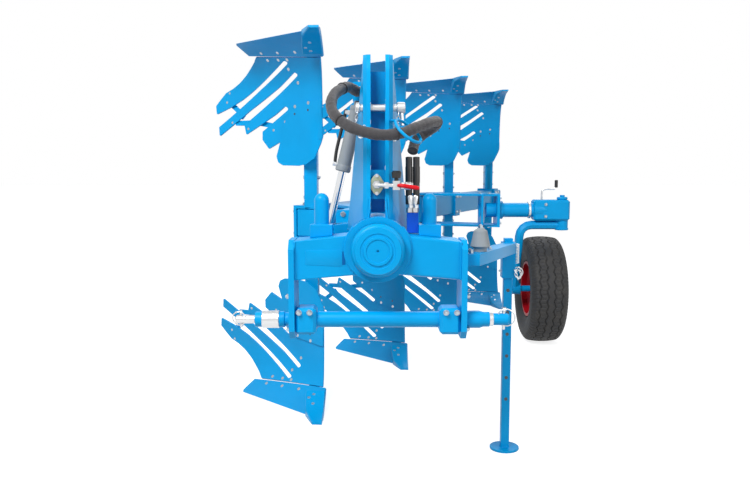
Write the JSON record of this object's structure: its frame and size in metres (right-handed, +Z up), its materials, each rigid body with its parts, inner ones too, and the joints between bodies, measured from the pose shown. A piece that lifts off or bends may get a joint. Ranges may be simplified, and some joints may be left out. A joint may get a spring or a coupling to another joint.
{
  "type": "mounted reversible plough",
  "caption": "Reversible mounted plough: paired slatted mouldboard bodies above and below a diagonal beam, turnover headstock with hitch mast, parking leg and rear depth wheel.",
  "frame": {"origin": "middle of the plough's box, on the ground", "axes": "+Y to the rear, away from the tractor; +X to the depth wheel's side; +Z up"},
  "size_m": [2.099, 4.4382, 1.76],
  "materials": {
    "blue_paint": "gloss",
    "dark_blue_paint": "gloss",
    "zinc_plated_steel": "satin",
    "chrome": "polished",
    "black_hose": "matte",
    "tyre_rubber": "matte",
    "red_paint": "gloss"
  },
  "bodies": {
    "headstock": {"headstock": "blue_paint", "hub_cap": "blue_paint", "cross_shaft": "blue_paint", "mast_plate_left": "blue_paint", "mast_plate_right": "blue_paint", "mast_web": "blue_paint", "top_link_pin": "zinc_plated_steel", "turn_stop_left": "blue_paint", "turn_stop_right": "blue_paint", "valve_block": "dark_blue_paint", "ball_valve": "zinc_plated_steel", "hose_bundle": "black_hose", "drop_hose_left": "black_hose", "drop_hose_right": "black_hose", "hose_ring": "blue_paint", "stand_bracket": "blue_paint", "spindle_cone": "zinc_plated_steel"},
    "stand": {"stand_leg": "blue_paint"},
    "cylinder_barrel": {"cylinder_barrel": "zinc_plated_steel"},
    "cylinder_rod": {"cylinder_rod": "chrome"},
    "turnover_frame": {"turnover_shaft": "blue_paint", "turnover_console": "blue_paint", "main_beam": "blue_paint", "wheel_bracket": "blue_paint", "leg_pair_1": "blue_paint", "share_lower_1": "blue_paint", "mouldboard_lower_1": "blue_paint", "trash_board_lower_1": "blue_paint", "share_upper_1": "blue_paint", "mouldboard_upper_1": "blue_paint", "trash_board_upper_1": "blue_paint", "leg_pair_2": "blue_paint", "share_lower_2": "blue_paint", "mouldboard_lower_2": "blue_paint", "trash_board_lower_2": "blue_paint", "share_upper_2": "blue_paint", "mouldboard_upper_2": "blue_paint", "trash_board_upper_2": "blue_paint", "leg_pair_3": "blue_paint", "share_lower_3": "blue_paint", "mouldboard_lower_3": "blue_paint", "trash_board_lower_3": "blue_paint", "share_upper_3": "blue_paint", "mouldboard_upper_3": "blue_paint", "trash_board_upper_3": "blue_paint", "leg_pair_4": "blue_paint", "share_lower_4": "blue_paint", "mouldboard_lower_4": "blue_paint", "trash_board_lower_4": "blue_paint", "share_upper_4": "blue_paint", "mouldboard_upper_4": "blue_paint", "trash_board_upper_4": "blue_paint"},
    "wheel_head": {"wheel_head": "blue_paint"},
    "wheel_arm": {"wheel_arm": "blue_paint"},
    "wheel": {"wheel_rim": "red_paint", "wheel_tyre": "tyre_rubber"}
  },
  "joints": [
    {"name": "turnover", "type": "hinge", "parent": "headstock", "child": "turnover_frame", "pos_m": [-0.1805, -1.62472, 0.88], "axis": [0, -1, 0], "range_deg": [0, 180]},
    {"name": "wheel_swing", "type": "hinge", "parent": "turnover_frame", "child": "wheel_head", "pos_m": [1.0095, 0.15528, 0.88], "axis": [1, 0, 0], "range_deg": [0, 153.8]},
    {"name": "wheel_swivel", "type": "hinge", "parent": "wheel_head", "child": "wheel_arm", "pos_m": [1.0095, 0.15528, 0.88], "axis": [0, 0, -1], "range_deg": [0, 90]},
    {"name": "wheel_spin", "type": "hinge", "parent": "wheel_arm", "child": "wheel", "pos_m": [0.9075, 0.27528, 0.35], "axis": [1, 0, 0], "continuous": true},
    {"name": "stand_slide", "type": "slide", "parent": "headstock", "child": "stand", "axis": [0, 0, 1], "range_m": [0, 0.4]},
    {"name": "cylinder_swing", "type": "hinge", "parent": "headstock", "child": "cylinder_barrel", "pos_m": [-0.2405, -1.84472, 1.435], "axis": [0, -1, 0], "range_deg": [0, 8.9]},
    {"name": "cylinder_stroke", "type": "slide", "parent": "cylinder_barrel", "child": "cylinder_rod", "axis": [-0.2386, 0, -0.9711], "range_m": [0, 0.1625]}
  ],
  "couplings": [
    {"joint": "cylinder_swing", "follows": "turnover", "ratio": 0.0494},
    {"joint": "cylinder_stroke", "follows": "turnover", "m_per_rad": 0.0516}
  ]
}
